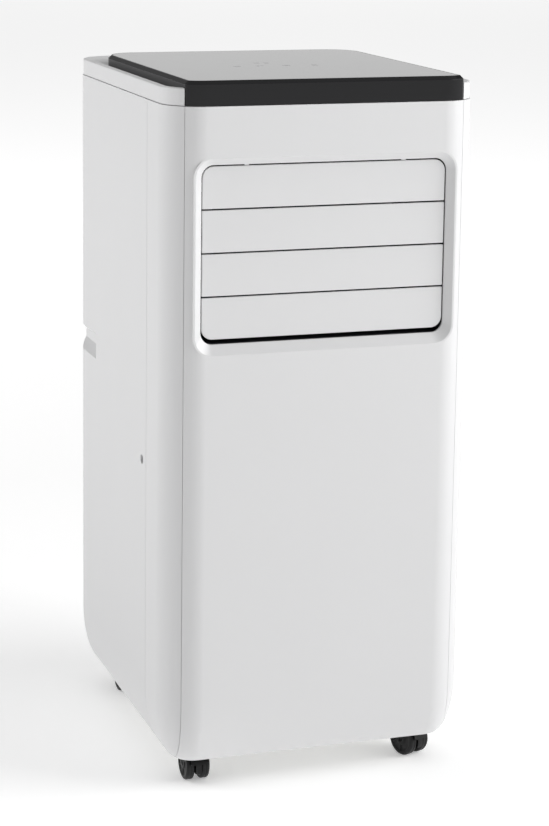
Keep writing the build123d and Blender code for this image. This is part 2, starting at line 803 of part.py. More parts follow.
def drain_plug(at, seat_y, head_y):
    """A rubber stopper for a drain spout."""
    x, z = at
    part = rod_y(seat_y - 12, seat_y + 1, x, z, drain_r - shaft_clear)
    return part + rod_y(seat_y + 0.1, head_y, x, z, plug_head_r)


def cable_gland():
    """The grommet where the mains cable enters."""
    x, z = gland_at
    part = rod_y(half_d - wall - 6, half_d - 0.4, x, z, gland_r)
    part = part + rod_y(half_d - wall - 3, half_d - wall, x, z, gland_r + 3)
    return part & shell_form(0.1, seam_z)


def casing_screws():
    """The screws that hold the casings together."""
    group = []
    for side in (-1, 1):
        y, z = side_screw
        span = sorted((side * (half_w - 4), side * (half_w - 6.5)))
        shank = sorted((side * (half_w - 6.5), side * (half_w - 18)))
        group.append(rod_x(span[0], span[1], y, z, screw_r) + rod_x(shank[0], shank[1], y, z, shank_r))
    for x, z in rear_screws:
        head = rod_y(half_d - 6.5, half_d - 4, x, z, screw_r)
        group.append(head + rod_y(half_d - 18, half_d - 6.5, x, z, shank_r))
    return Compound(children=group)


def electrical_box():
    """The control box behind the outlet duct."""
    part = block(34, 140, duct_back, duct_back + 90, 560, 650)
    return part - block(36, 138, duct_back + 2, duct_back + 88, 562, 648)


def run_capacitor():
    """The compressor's run capacitor."""
    return fillet(rod_z(540, 616, -40, duct_back + 20, 20).edges().group_by(Axis.Z)[-1], 3)


# ---------------------------------------------------------------- casters

CASTERS = {
    "front_left": (-stem_x, -stem_y, 0.0),
    "front_right": (stem_x, -stem_y, front_right_turn),
    "rear_left": (-stem_x, stem_y, 0.0),
    "rear_right": (stem_x, stem_y, rear_right_turn),
}


def caster_fork():
    """The hood, web, axle seat and stem of one caster, about its own stem."""
    hood_r = wheel_r + hood_gap + hood_thick
    hood = rod_x(-hood_half, hood_half, -trail, wheel_r, hood_r)
    hood = hood - rod_x(-hood_half - 1, hood_half + 1, -trail, wheel_r, wheel_r + hood_gap)
    hood = hood & block(-20, 20, -40, 40, wheel_r + 3, 60)
    web = rod_x(-wheel_inner + 0.5, wheel_inner - 0.5, -trail, wheel_r, wheel_r + 1)
    web = web & block(-20, 20, -40, 40, wheel_r - 7, 60)
    top = wheel_r + hood_r
    part = hood + web + rod_z(wheel_r + 8, top + 0.5, 0, 0, wheel_inner - 0.6)
    part = part + rod_z(top - 3, pan_z + 17, 0, 0, stem_r)
    return part - rod_x(-5, 5, -trail, wheel_r, axle_r + shaft_clear)


def caster_wheels():
    """Two wheels on one axle."""
    part = rod_x(-wheel_half + 2, wheel_half - 2, -trail, wheel_r, axle_r)
    for side in (-1, 1):
        x0, x1 = sorted((side * wheel_inner, side * wheel_half))
        wheel = rod_x(x0, x1, -trail, wheel_r, wheel_r)
        wheel = fillet(wheel.edges().filter_by(GeomType.CIRCLE), 2.0)
        part = part + wheel
    return part


def place_caster(part, where):
    """Moves a caster part from its own stem to its corner."""
    x, y, turn = where
    return Pos(x, y, 0) * Rot(0, 0, turn) * part


# ---------------------------------------------------------------- assembly

def build():
    """Makes every sub-part."""
    keep("front_panel", front_panel())
    keep("front_casing", front_casing())
    keep("rear_casing", rear_casing())
    keep("top_cover", top_cover())
    keep("base_pan", base_pan())
    keep("control_housing", control_housing())
    keep("touch_glass", touch_glass())
    keep("control_board", control_board())
    for i in range(louvre_count):
        keep(f"louvre_{i + 1}", louvre(i))
    keep("louvre_link", louvre_link())
    keep("swing_motor", swing_motor())
    keep("swing_crank", swing_crank())
    keep("outlet_duct", outlet_duct())
    for i in range(vane_count):
        keep(f"vane_{i + 1}", vane(i))
    keep("vane_link", vane_link())
    for name, axis, r, wheel_size, span, inlet, top in (
        ("upper", upper_axis, upper_volute_r, upper_wheel_r, upper_volute_y, upper_inlet_r,
         outlet_bottom - duct_wall),
        ("lower", lower_axis, lower_volute_r, lower_wheel_r, lower_volute_y, lower_inlet_r, deck_z),
    ):
        keep(f"{name}_fan_housing", volute(axis, r, span, inlet, top))
        keep(f"{name}_fan_wheel", fan_wheel(axis, wheel_size, span, 6))
        keep(f"{name}_fan_motor", fan_motor(axis, span[0]))
        keep(f"{name}_fan_shaft", fan_shaft(axis, span[0], span[0] + 6))
    keep("evaporator_coil", coil(evaporator_z))
    keep("condenser_coil", coil(condenser_z))
    keep("compressor", compressor())
    keep("compressor_mounts", compressor_mounts())
    keep("accumulator", accumulator())
    keep("suction_pipe", suction_pipe())
    keep("discharge_pipe", discharge_pipe())
    keep("liquid_line", liquid_line())
    keep("mid_deck", mid_deck())
    keep("drip_tray", drip_tray())
    keep("exhaust_duct", exhaust_duct())
    keep("exhaust_collar", exhaust_collar())
    keep("upper_intake_grille", upper_grille())
    keep("lower_intake_grille", grille(lower_grille_z))
    keep("air_filter", air_filter())
    keep("tray_drain_plug", drain_plug(tray_drain, half_d - wall, half_d - 0.1))
    keep("pan_drain_plug", drain_plug(pan_drain, half_d - pan_inset + 3.5, half_d - 4.5))
    keep("cable_gland", cable_gland())
    keep("casing_screws", casing_screws())
    keep("electrical_box", electrical_box())
    keep("run_capacitor", run_capacitor())
    for name, where in CASTERS.items():
        keep(f"caster_fork_{name}", place_caster(caster_fork(), where))
        keep(f"caster_wheels_{name}", place_caster(caster_wheels(), where))


build()
os.makedirs("parts", exist_ok=True)
for node, part in DONE.items():
    export_step(part, f"parts/{node}.step")
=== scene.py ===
import json
from math import atan2, cos, pi, radians, sin, tau

import bmesh
import bpy
from bpy.props import FloatProperty, FloatVectorProperty, IntProperty, PointerProperty
from bpy.types import Operator, Panel, PropertyGroup
from mathutils import Matrix, Vector


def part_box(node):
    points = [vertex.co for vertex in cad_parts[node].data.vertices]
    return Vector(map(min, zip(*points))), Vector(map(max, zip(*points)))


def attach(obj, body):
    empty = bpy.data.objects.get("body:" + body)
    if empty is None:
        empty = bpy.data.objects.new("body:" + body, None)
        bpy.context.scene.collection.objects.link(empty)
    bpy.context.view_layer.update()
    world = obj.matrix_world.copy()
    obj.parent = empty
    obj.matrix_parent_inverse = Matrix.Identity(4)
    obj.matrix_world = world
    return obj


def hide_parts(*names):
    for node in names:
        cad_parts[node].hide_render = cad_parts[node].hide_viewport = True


bl_info = {
    "name": "Portable air conditioner",
    "version": (1, 0, 0),
    "blender": (4, 5, 0),
    "location": "3D View > Sidebar > Air conditioner",
    "description": "Builds the visible pieces and finishes of a portable air conditioner around its frame",
    "category": "Add Mesh",
}

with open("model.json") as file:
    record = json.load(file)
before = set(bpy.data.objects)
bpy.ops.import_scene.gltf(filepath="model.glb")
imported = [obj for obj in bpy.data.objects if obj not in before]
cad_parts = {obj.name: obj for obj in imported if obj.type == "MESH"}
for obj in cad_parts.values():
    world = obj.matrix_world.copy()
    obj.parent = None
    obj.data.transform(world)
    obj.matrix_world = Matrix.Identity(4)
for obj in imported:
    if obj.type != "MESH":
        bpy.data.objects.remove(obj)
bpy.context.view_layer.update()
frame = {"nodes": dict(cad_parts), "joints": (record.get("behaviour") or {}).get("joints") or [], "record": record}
MM = 0.001
X, Y, Z = Vector((1, 0, 0)), Vector((0, 1, 0)), Vector((0, 0, 1))

MOTION = {joint["name"]: joint for joint in frame["joints"]}
LOUVRES = sorted(name for name in frame["nodes"] if name.startswith("louvre_") and name[-1].isdigit())
CORNERS = ("front_left", "front_right", "rear_left", "rear_right")

# Places on the unit, in millimetres
SIDE_SCREW = (-91.4, 319.0)
REAR_SCREW_X = 128.0
REAR_SCREW_Z = (664.0, 448.0, 282.0)
TOUCH_KEYS = ((-48, -44), (-24, -44), (4, -44), (34, -44))
DIGITS_X = (-17, -7)
DIGITS_Y = -13
LOUVRE_THICK = 3.0
LOUVRE_PIN_R = 2.0
CRANK_X = 127.8         # inner face of the louvres' cranks
CRANK_THROW = 10.0
COIL_HALF = 118.0
TUBE_PITCH = 24.0
TUBE_OUT = 7.0
BEND_X = 118.5


def joint_at(name):
    """Where a joint's axis is, and its direction."""
    joint = MOTION[name]
    return Vector(joint["pos_m"]), Vector(joint["axis"]).normalized()


# ---------------------------------------------------------------- settings

class AirconSizes(PropertyGroup):
    """Sizes of the visible details."""
    edge_round: FloatProperty(name="Edge round", description="Radius on the edges of the casings",
                              default=0.45 * MM, min=0.05 * MM, unit="LENGTH", subtype="DISTANCE")
    panel_round: FloatProperty(name="Panel round", description="Radius on the edges of the front panel",
                               default=0.9 * MM, min=0.05 * MM, unit="LENGTH", subtype="DISTANCE")
    small_round: FloatProperty(name="Small round", description="Radius on the edges of small parts",
                               default=0.25 * MM, min=0.02 * MM, unit="LENGTH", subtype="DISTANCE")
    louvre_half: FloatProperty(name="Louvre half length", description="From a louvre's middle to its end",
                               default=122.4 * MM, min=50 * MM, unit="LENGTH", subtype="DISTANCE")
    louvre_corner: FloatProperty(name="Louvre corner", description="Corner radius of the end louvres",
                                 default=10.9 * MM, min=1 * MM, unit="LENGTH", subtype="DISTANCE")
    louvre_crown: FloatProperty(name="Louvre crown",
                                description="How far a louvre's face swells in the middle",
                                default=0.45 * MM, min=0.0, unit="LENGTH", subtype="DISTANCE")
    louvre_round: FloatProperty(name="Louvre edge", description="Radius along a louvre's long edges",
                                default=0.9 * MM, min=0.1 * MM, unit="LENGTH", subtype="DISTANCE")
    fin_pitch: FloatProperty(name="Fin pitch", description="Distance between two coil fins",
                             default=2.4 * MM, min=1.0 * MM, unit="LENGTH", subtype="DISTANCE")
    icon_size: FloatProperty(name="Touch mark size", description="Width of a printed touch mark",
                             default=8.0 * MM, min=2.0 * MM, unit="LENGTH", subtype="DISTANCE")
    wheel_spokes: IntProperty(name="Wheel ribs", description="Ribs on the face of each caster wheel",
                              default=6, min=3)


class AirconColours(PropertyGroup):
    """Colours of the finishes."""
    panel_white: FloatVectorProperty(name="Panel white", description="Smooth front panel and louvres",
                                     subtype="COLOR", default=(0.76, 0.76, 0.765), min=0, max=1)
    casing_white: FloatVectorProperty(name="Casing white", description="Corner, side and back casings",
                                      subtype="COLOR", default=(0.75, 0.75, 0.755), min=0, max=1)
    trim_black: FloatVectorProperty(name="Trim black", description="Polished surround of the control panel",
                                    subtype="COLOR", default=(0.006, 0.006, 0.007), min=0, max=1)
    mark_grey: FloatVectorProperty(name="Mark grey", description="Printed touch marks",
                                   subtype="COLOR", default=(0.50, 0.50, 0.51), min=0, max=1)
    caster_black: FloatVectorProperty(name="Caster black", description="Caster forks and wheels",
                                      subtype="COLOR", default=(0.007, 0.007, 0.0075), min=0, max=1)


class AirconStudio(PropertyGroup):
    """Light and floor."""
    floor_size: FloatProperty(name="Floor size", description="Side of the floor", default=60.0,
                              unit="LENGTH", subtype="DISTANCE")
    key_power: FloatProperty(name="Key light", description="Softbox on the right", default=120.0, unit="POWER")
    side_power: FloatProperty(name="Side light", description="Softbox on the left", default=48.0, unit="POWER")
    top_power: FloatProperty(name="Top light", description="Overhead softbox", default=60.0, unit="POWER")
    rear_power: FloatProperty(name="Rear card", description="Card behind, seen in the glass", default=112.0,
                              unit="POWER")
    surround: FloatProperty(name="Surround", description="Brightness of the room", default=0.20, min=0)
    floor_glow: FloatProperty(name="Floor glow", description="Glow of the floor away from the unit",
                              default=0.66, min=0)


# ---------------------------------------------------------------- shader building

class Signal:
    """A node's output socket that takes part in Python arithmetic."""

    def __init__(self, graph, socket):
        self.graph = graph
        self.socket = socket

    def _math(self, operation, first, second=0.0):
        return self.graph.node("ShaderNodeMath", {"operation": operation}, {0: first, 1: second})

    def __add__(self, other):
        return self._math("ADD", self, other)

    def __sub__(self, other):
        return self._math("SUBTRACT", self, other)

    def __rsub__(self, other):
        return self._math("SUBTRACT", other, self)

    def __mul__(self, other):
        return self._math("MULTIPLY", self, other)

    def __gt__(self, other):
        return self._math("GREATER_THAN", self, other)

    def power(self, other):
        return self._math("POWER", self, other)

    def sine(self):
        return self._math("SINE", self)

    def size(self):
        return self._math("ABSOLUTE", self)

    __radd__ = __add__
    __rmul__ = __mul__


class Graph:
    """One material and its nodes."""

    def __init__(self, name):
        self.material = bpy.data.materials.new(name)
        self.material.use_nodes = True
        self.tree = self.material.node_tree
        self.tree.nodes.clear()

    def node(self, kind, settings=None, inputs=None, output=0):
        """Adds a node: its settings first, then its sockets' values or links."""
        made = self.tree.nodes.new(kind)
        for key, value in (settings or {}).items():
            if key == "stops":
                self._stops(made.color_ramp, value)
            else:
                setattr(made, key, value)
        for key, value in (inputs or {}).items():
            if isinstance(value, Signal):
                self.tree.links.new(value.socket, made.inputs[key])
            else:
                made.inputs[key].default_value = value
        return Signal(self, made.outputs[output]) if len(made.outputs) else made

    def _stops(self, ramp, stops):
        while len(ramp.elements) < len(stops):
            ramp.elements.new(1.0)
        for element, (position, colour) in zip(ramp.elements, stops):
            element.position = position
            element.color = (*colour, 1.0)

    def place(self, stretch=(1, 1, 1)):
        """The point on the piece, stretched along each axis."""
        where = self.node("ShaderNodeTexCoord", output="Object")
        return self.node("ShaderNodeMapping", {}, {"Vector": where, "Scale": stretch})

    def axes(self, place):
        """The three coordinates of a point."""
        split = self.tree.nodes.new("ShaderNodeSeparateXYZ")
        self.tree.links.new(place.socket, split.inputs[0])
        return [Signal(self, socket) for socket in split.outputs]

    def noise(self, place, scale, detail=3.0, roughness=0.5):
        """Cloudy variation, 0 to 1."""
        return self.node("ShaderNodeTexNoise", {}, {"Vector": place, "Scale": scale, "Detail": detail,
                                                    "Roughness": roughness})

    def blend(self, factor, first, second):
        """One colour turning into another."""
        sockets = {0: factor, 6: (*first, 1), 7: (*second, 1)}
        return self.node("ShaderNodeMix", {"data_type": "RGBA"}, sockets, 2)

    def surface(self, **sockets):
        """The finished surface."""
        named = {key.replace("_", " "): value for key, value in sockets.items()}
        shader = self.node("ShaderNodeBsdfPrincipled", {}, named)
        self.node("ShaderNodeOutputMaterial", {}, {"Surface": shader})
        return self.material

    def relief(self, height, depth, strength=1.0):
        """A small relief from a height signal."""
        return self.node("ShaderNodeBump", {}, {"Height": height, "Distance": depth, "Strength": strength})


def shade(colour, factor):
    """A colour made lighter or darker."""
    return tuple(min(1.0, part * factor) for part in colour[:3])


def moulded(name, colour, roughness, grain=0.5 * MM, depth=0.01 * MM, mottle=0.02, coat=0.0,
            shine=0.5):
    """Moulded plastic with a fine grain, faint flow clouding and a little handling haze."""
    graph = Graph(name)
    place = graph.place()
    fine = graph.noise(place, 1 / grain, 2.0)
    cloud = graph.noise(place, 7.0, 4.0, 0.6)
    haze = graph.noise(graph.place((1, 1, 0.35)), 28.0, 5.0, 0.65)
    colour_now = graph.blend(cloud, shade(colour, 1 - mottle), shade(colour, 1 + mottle))
    rough_now = roughness + (cloud - 0.5) * 0.08 + (haze - 0.5) * 0.10 + (fine - 0.5) * 0.05
    return graph.surface(Base_Color=colour_now, Roughness=rough_now, Normal=graph.relief(fine, depth),
                         Specular_IOR_Level=shine, Coat_Weight=coat, Coat_Roughness=0.12)


def polished(name, colour, roughness, shine=0.5, coat=0.3):
    """Polished dark plastic or printed glass, with faint wiping marks."""
    graph = Graph(name)
    wipe = graph.noise(graph.place((1.0, 0.25, 1.0)), 60.0, 6.0, 0.7)
    spots = graph.noise(graph.place(), 900.0, 2.0)
    dust = (spots > 0.74) * 0.06
    colour_now = graph.blend(dust, shade(colour, 1.0), (0.2, 0.2, 0.2))
    rough_now = roughness + wipe.power(3.0) * 0.10 + dust
    return graph.surface(Base_Color=colour_now, Roughness=rough_now, Specular_IOR_Level=shine,
                         Coat_Weight=coat, Coat_Roughness=0.03)


def metal(name, colour, roughness, stretch, metallic=1.0, stain=(0.3, 0.2, 0.1)):
    """Drawn or rolled metal with streaks along one direction and light staining."""
    graph = Graph(name)
    streak = graph.noise(graph.place(stretch), 900.0, 3.0, 0.6)
    cloud = graph.noise(graph.place(), 45.0, 5.0, 0.6)
    dull = cloud.power(3.0)
    colour_now = graph.blend(dull, colour, tuple(0.6 * c + 0.4 * s for c, s in zip(colour, stain)))
    rough_now = roughness + (streak - 0.5) * 0.18 + dull * 0.25
    return graph.surface(Base_Color=colour_now, Metallic=metallic, Roughness=rough_now,
                         Normal=graph.relief(streak, 0.006 * MM))


def woven(name, colour, pitch):
    """A fine woven filter net."""
    graph = Graph(name)
    across, _, up = graph.axes(graph.place())
    warp = (across * (pi / pitch)).sine().size()
    weft = (up * (pi / pitch)).sine().size()
    thread = (warp.power(3.0) + weft.power(3.0)) * 0.5
    colour_now = graph.blend(thread, shade(colour, 0.25), shade(colour, 1.6))
    return graph.surface(Base_Color=colour_now, Roughness=0.75 - thread * 0.2,
                         Normal=graph.relief(thread, 0.15 * MM))


def painted(name, colour, roughness):
    """Sprayed paint on steel, with orange peel and a few dull patches."""
    graph = Graph(name)
    peel = graph.noise(graph.place(), 420.0, 2.0)
    patch = graph.noise(graph.place(), 30.0, 4.0)
    colour_now = graph.blend(patch, shade(colour, 0.8), shade(colour, 1.4))
    return graph.surface(Base_Color=colour_now, Roughness=roughness + (patch - 0.5) * 0.2,
                         Normal=graph.relief(peel, 0.05 * MM))


def circuit(name, colour):
    """Lacquered circuit board with copper tracks under the lacquer."""
    graph = Graph(name)
    cells = graph.node("ShaderNodeTexVoronoi", {"distance": "MANHATTAN"},
                       {"Vector": graph.place(), "Scale": 260.0}, "Distance")
    track = (cells * 40.0).sine() > 0.2
    colour_now = graph.blend(track, colour, shade(colour, 2.2))
    return graph.surface(Base_Color=colour_now, Roughness=0.35 + track * 0.08,
                         Normal=graph.relief(track, 0.03 * MM))


def make_materials(colours):
    """Every finish, by the record's slot name."""
    white = tuple(colours.panel_white)
    casing = tuple(colours.casing_white)
    return {
        "white_panel": moulded("Panel_white", white, 0.34, 0.6 * MM, 0.004 * MM, 0.010, 0.15),
        "white_casing": moulded("Casing_white", casing, 0.42, 0.45 * MM, 0.010 * MM, 0.012),
        "louvre_white": moulded("Louvre_white", white, 0.36, 0.6 * MM, 0.004 * MM, 0.010, 0.10),
        "duct_grey": moulded("Duct_grey", (0.045, 0.045, 0.05), 0.55, 0.5 * MM, 0.02 * MM, 0.12),
        "control_black": polished("Trim_black", tuple(colours.trim_black), 0.12, 0.35, 0.0),
        "touch_glass": polished("Top_glass", tuple(colours.trim_black), 0.07),
        "board_green": circuit("Board_green", (0.02, 0.11, 0.045)),
        "fan_plastic": moulded("Fan_plastic", (0.06, 0.06, 0.065), 0.5, 0.7 * MM, 0.03 * MM, 0.15),
        "motor_steel": metal("Motor_steel", (0.56, 0.57, 0.59), 0.36, (1, 0.1, 1), 1.0, (0.2, 0.2, 0.2)),
        "copper": metal("Copper", (0.78, 0.36, 0.20), 0.30, (1, 1, 0.15), 1.0, (0.12, 0.07, 0.05)),
        "coil_fins": metal("Coil_fins", (0.80, 0.81, 0.82), 0.38, (0.2, 1, 1), 1.0, (0.3, 0.3, 0.3)),
        "compressor_black": painted("Compressor_black", (0.02, 0.02, 0.022), 0.42),
        "rubber": moulded("Rubber", (0.02, 0.02, 0.021), 0.78, 0.5 * MM, 0.05 * MM, 0.25),
        "filter_mesh": woven("Filter_net", (0.06, 0.06, 0.065), 1.6 * MM),
        "screw_steel": metal("Screw_steel", (0.34, 0.34, 0.35), 0.35, (1, 1, 1), 1.0, (0.1, 0.1, 0.1)),
        "caster_plastic": moulded("Caster_black", tuple(colours.caster_black), 0.45, 0.5 * MM, 0.02 * MM, 0.2,
                                  0.0, 0.3),
        "foam_white": moulded("Inner_white", (0.62, 0.62, 0.60), 0.6, 1.2 * MM, 0.06 * MM, 0.04),
        "mark_ink": moulded("Mark_ink", tuple(colours.mark_grey), 0.5, 0.4 * MM, 0.004 * MM, 0.02),
    }


MATERIALS = {}
SLOTS = {row["node"]: row["material_slot"] for row in frame["record"]["subparts"]}


# ---------------------------------------------------------------- mesh building

def add_box(bm, low, high):
    """A box between two corners, in millimetres."""
    low, high = Vector(low) * MM, Vector(high) * MM
    place = Matrix.Translation((low + high) / 2) @ Matrix.Diagonal((*(high - low), 1))
    return bmesh.ops.create_cube(bm, size=1, matrix=place)["verts"]


def add_rod(bm, start, end, radius, segments=32, end_radius=None):
    """A closed cylinder or cone between two points, in millimetres."""
    start, end = Vector(start) * MM, Vector(end) * MM
    turn = Z.rotation_difference(end - start).to_matrix().to_4x4()
    place = Matrix.Translation((start + end) / 2) @ turn
    far = radius if end_radius is None else end_radius
    made = bmesh.ops.create_cone(bm, cap_ends=True, cap_tris=False, segments=segments, radius1=radius * MM,
                                 radius2=far * MM, depth=(end - start).length, matrix=place)
    return made["verts"]


def add_turned(bm, outline, steps=48, closed=True):
    """An outline of (along, out) points in millimetres, turned right round the X axis at the origin."""
    verts = [bm.verts.new((along * MM, 0, out * MM)) for along, out in outline]
    pairs = list(zip(verts, verts[1:])) + ([(verts[-1], verts[0])] if closed else [])
    edges = [bm.edges.new(pair) for pair in pairs]
    before = set(bm.verts)
    bmesh.ops.spin(bm, geom=verts + edges, cent=(0, 0, 0), axis=X, angle=tau, steps=steps, use_merge=True)
    return verts + [v for v in bm.verts if v not in before]


def move(bm, verts, matrix):
    """Moves some vertices."""
    bmesh.ops.transform(bm, matrix=matrix, verts=verts)


def edges_of(verts, angle):
    """Edges among some vertices where faces meet more sharply than an angle."""
    near = {edge for vert in verts for edge in vert.link_edges}
    return [e for e in near if e.is_manifold and e.calc_face_angle(0) > angle]


def soften(bm, verts, width, segments=2, angle=radians(28)):
    """Rounds the sharp edges among some vertices."""
    sharp = edges_of(verts, angle)
    if sharp:
        bmesh.ops.bevel(bm, geom=sharp, offset=width, offset_type="OFFSET", affect="EDGES", segments=segments,
                        profile=0.5, material=-1, clamp_overlap=True)


def finish_piece(bm, name, body, slot, replaced=(), recalculate=True):
    """Turns a bmesh into a finished piece that rides on a body."""
    bmesh.ops.remove_doubles(bm, verts=bm.verts, dist=1e-6)
    if recalculate:
        bmesh.ops.recalc_face_normals(bm, faces=bm.faces)
    mesh = bpy.data.meshes.new(name)
    bm.to_mesh(mesh)
    bm.free()
    mesh.shade_smooth()
    mesh.materials.append(MATERIALS[slot])
    piece = bpy.data.objects.new(name, mesh)
    bpy.context.scene.collection.objects.link(piece)
    weighted = piece.modifiers.new("Even normals", "WEIGHTED_NORMAL")
    weighted.keep_sharp = False
    weighted.weight = 90
    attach(piece, body)
    if replaced:
        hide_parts(*replaced)
    return piece


def body_holding(node):
    """The body that a frame node belongs to."""
    for body, nodes in frame["record"]["behaviour"]["bodies"].items():
        if node in nodes:
            return body
    raise RuntimeError(f"no body holds {node}")


def merged_copy(node):
    """A copy of a frame node's mesh with its loose faces merged into clean ones."""
    bm = bmesh.new()
    bm.from_mesh(frame["nodes"][node].data)
    bmesh.ops.remove_doubles(bm, verts=bm.verts, dist=1e-6)
    bmesh.ops.dissolve_limit(bm, angle_limit=radians(0.6), verts=bm.verts, edges=bm.edges,
                             use_dissolve_boundaries=False)
    return bm


def softened(node, name, width, segments=2):
    """A frame node rebuilt with rounded edges."""
    bm = merged_copy(node)
    soften(bm, bm.verts, width, segments)
    return finish_piece(bm, name, body_holding(node), SLOTS[node], [node], recalculate=False)


# ---------------------------------------------------------------- operators

class AIRCON_OT_casings(Operator):
    """Builds the outer casings with rounded edges"""
    bl_idname = "aircon.casings"
    bl_label = "Casings"

    def execute(self, context):
        sizes = context.scene.aircon_sizes
        softened("front_panel", "front_panel_shell", sizes.panel_round, 3)
        for node in ("front_casing", "rear_casing"):
            softened(node, f"{node}_shell", sizes.edge_round)
        for node in ("top_cover", "control_housing", "touch_glass", "upper_intake_grille",
                     "lower_intake_grille", "exhaust_collar", "outlet_duct", "base_pan", "air_filter"):
            softened(node, f"{node}_shell", sizes.small_round)
        return {"FINISHED"}


class AIRCON_OT_louvres(Operator):
    """Builds the four crowned louvres"""
    bl_idname = "aircon.louvres"
    bl_label = "Louvres"

    def execute(self, context):
        sizes = context.scene.aircon_sizes
        for index, node in enumerate(LOUVRES):
            self.louvre(node, index, sizes)
        return {"FINISHED"}

    def louvre(self, node, index, sizes):
        """One louvre: a crowned blade, end lugs, pins and the crank of its link."""
        low, high = [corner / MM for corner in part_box(node)]
        pivot, _ = joint_at(f"{node}_tilt")
        pivot = pivot / MM
        half = sizes.louvre_half / MM
        bm = bmesh.new()
        add_box(bm, (-half, low.y, low.z), (half, low.y + LOUVRE_THICK, high.z))
        bm.edges.ensure_lookup_table()
        corner = [e for e in bm.edges if abs((e.verts[0].co - e.verts[1].co).normalized().y) > 0.9]
        if index == 0:
            corner = [e for e in corner if e.verts[0].co.z > pivot.z * MM]
        elif index == len(LOUVRES) - 1:
            corner = [e for e in corner if e.verts[0].co.z < pivot.z * MM]
        else:
            corner = []
        if corner:
            bmesh.ops.bevel(bm, geom=corner, offset=sizes.louvre_corner, offset_type="OFFSET", affect="EDGES",
                            segments=10, profile=0.5, material=-1)
        soften(bm, bm.verts, sizes.louvre_round, 3)
        steps = 10
        for step in range(1, steps):
            height = (low.z + (high.z - low.z) * step / steps) * MM
            bmesh.ops.bisect_plane(bm, geom=bm.verts[:] + bm.edges[:] + bm.faces[:], plane_co=(0, 0, height),
                                   plane_no=Z)
        reach = (high.z - low.z) / 2 * MM
        front = (low.y + 0.2) * MM
        for vert in bm.verts:
            if vert.co.y < front:
                rise = 1 - ((vert.co.z - pivot.z * MM) / reach) ** 2
                vert.co.y += sizes.louvre_crown * (0.6 - max(rise, 0.0))
        for side in (-1, 1):
            x0, x1 = sorted((side * (half - 2.2), side * half))
            lug = add_box(bm, (x0, low.y + 1.2, pivot.z - 4), (x1, pivot.y + 3, pivot.z + 4))
            soften(bm, lug, 0.5 * MM)
        add_rod(bm, (1.8 - CRANK_X, pivot.y, pivot.z), (-half + 1, pivot.y, pivot.z), LOUVRE_PIN_R)
        add_rod(bm, (half - 1, pivot.y, pivot.z), (CRANK_X + 1, pivot.y, pivot.z), LOUVRE_PIN_R)
        tip = pivot.y + CRANK_THROW
        arm = add_box(bm, (CRANK_X, pivot.y - 2.5, pivot.z - 2.5), (CRANK_X + 2, tip + 2.5, pivot.z + 2.5))
        soften(bm, arm, 0.5 * MM)
        add_rod(bm, (CRANK_X + 1, tip, pivot.z), (CRANK_X + 5.2, tip, pivot.z), 1.5)
        finish_piece(bm, f"{node}_blade", node, "louvre_white", [node])


class AIRCON_OT_touch_marks(Operator):
    """Prints the touch marks on the glass"""
    bl_idname = "aircon.touch_marks"
    bl_label = "Touch marks"

    def execute(self, context):
        size = context.scene.aircon_sizes.icon_size
        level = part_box("touch_glass")[1].z
        bm = bmesh.new()
        for kind, (x, y) in enumerate(TOUCH_KEYS):
            self.mark(bm, kind, Vector((x, y, 0)) * MM, size / 2)
        for x in DIGITS_X:
            self.ring(bm, Vector((x, DIGITS_Y, 0)) * MM, size * 0.42, size * 0.34, 4, pi / 4)
        face = bm.faces[:]
        lifted = bmesh.ops.extrude_face_region(bm, geom=face)["geom"]
        up = [v for v in lifted if isinstance(v, bmesh.types.BMVert)]
        move(bm, up, Matrix.Translation((0, 0, 0.05 * MM)))
        move(bm, bm.verts, Matrix.Translation((0, 0, level - 0.01 * MM)))
        finish_piece(bm, "touch_marks", "body", "mark_ink")
        return {"FINISHED"}

    def ring(self, bm, centre, outer, inner, count=28, turn=0.0, start=0, stop=None):
        """A flat ring, or part of one."""
        place = Matrix.Translation(centre) @ Matrix.Rotation(turn, 4, "Z")
        loops = []
        for radius in (outer, inner):
            made = bmesh.ops.create_circle(bm, cap_ends=False, segments=count, radius=radius, matrix=place)
            loops += list({e for v in made["verts"] for e in v.link_edges})
        bridged = bmesh.ops.bridge_loops(bm, edges=loops)["faces"]
        if stop is not None:
            middle = [f for f in bridged if start < self.bearing(f, centre) < stop]
            bmesh.ops.delete(bm, geom=middle, context="FACES")

    def bearing(self, face, centre):
        """The direction of a face from a centre."""
        away = face.calc_center_median() - centre
        return atan2(away.y, away.x)

    def bar(self, bm, centre, length, width, turn):
        """A flat bar."""
        place = Matrix.Translation(centre) @ Matrix.Rotation(turn, 4, "Z")
        place = place @ Matrix.Diagonal((length / 2, width / 2, 1, 1))
        bmesh.ops.create_grid(bm, x_segments=1, y_segments=1, size=1, matrix=place)

    def mark(self, bm, kind, centre, radius):
        """One of four generic marks: power, fan, timer and drop in temperature."""
        thin = radius * 0.22
        if kind == 0:
            self.ring(bm, centre, radius, radius - thin, 28, 0, radians(62), radians(118))
            self.bar(bm, centre + Vector((0, radius * 0.75, 0)), radius * 0.9, thin, pi / 2)
        elif kind == 1:
            for blade in range(3):
                turn = blade * tau / 3
                away = Vector((cos(turn), sin(turn), 0)) * radius * 0.62
                self.ring(bm, centre + away, radius * 0.36, radius * 0.2, 16)
        elif kind == 2:
            self.ring(bm, centre, radius, radius - thin)
            self.bar(bm, centre + Vector((0, radius * 0.3, 0)), radius * 0.6, thin, pi / 2)
            self.bar(bm, centre + Vector((radius * 0.25, 0, 0)), radius * 0.5, thin, 0)
        else:
            for line in range(3):
                self.bar(bm, centre, radius * 1.9, thin, line * pi / 3)


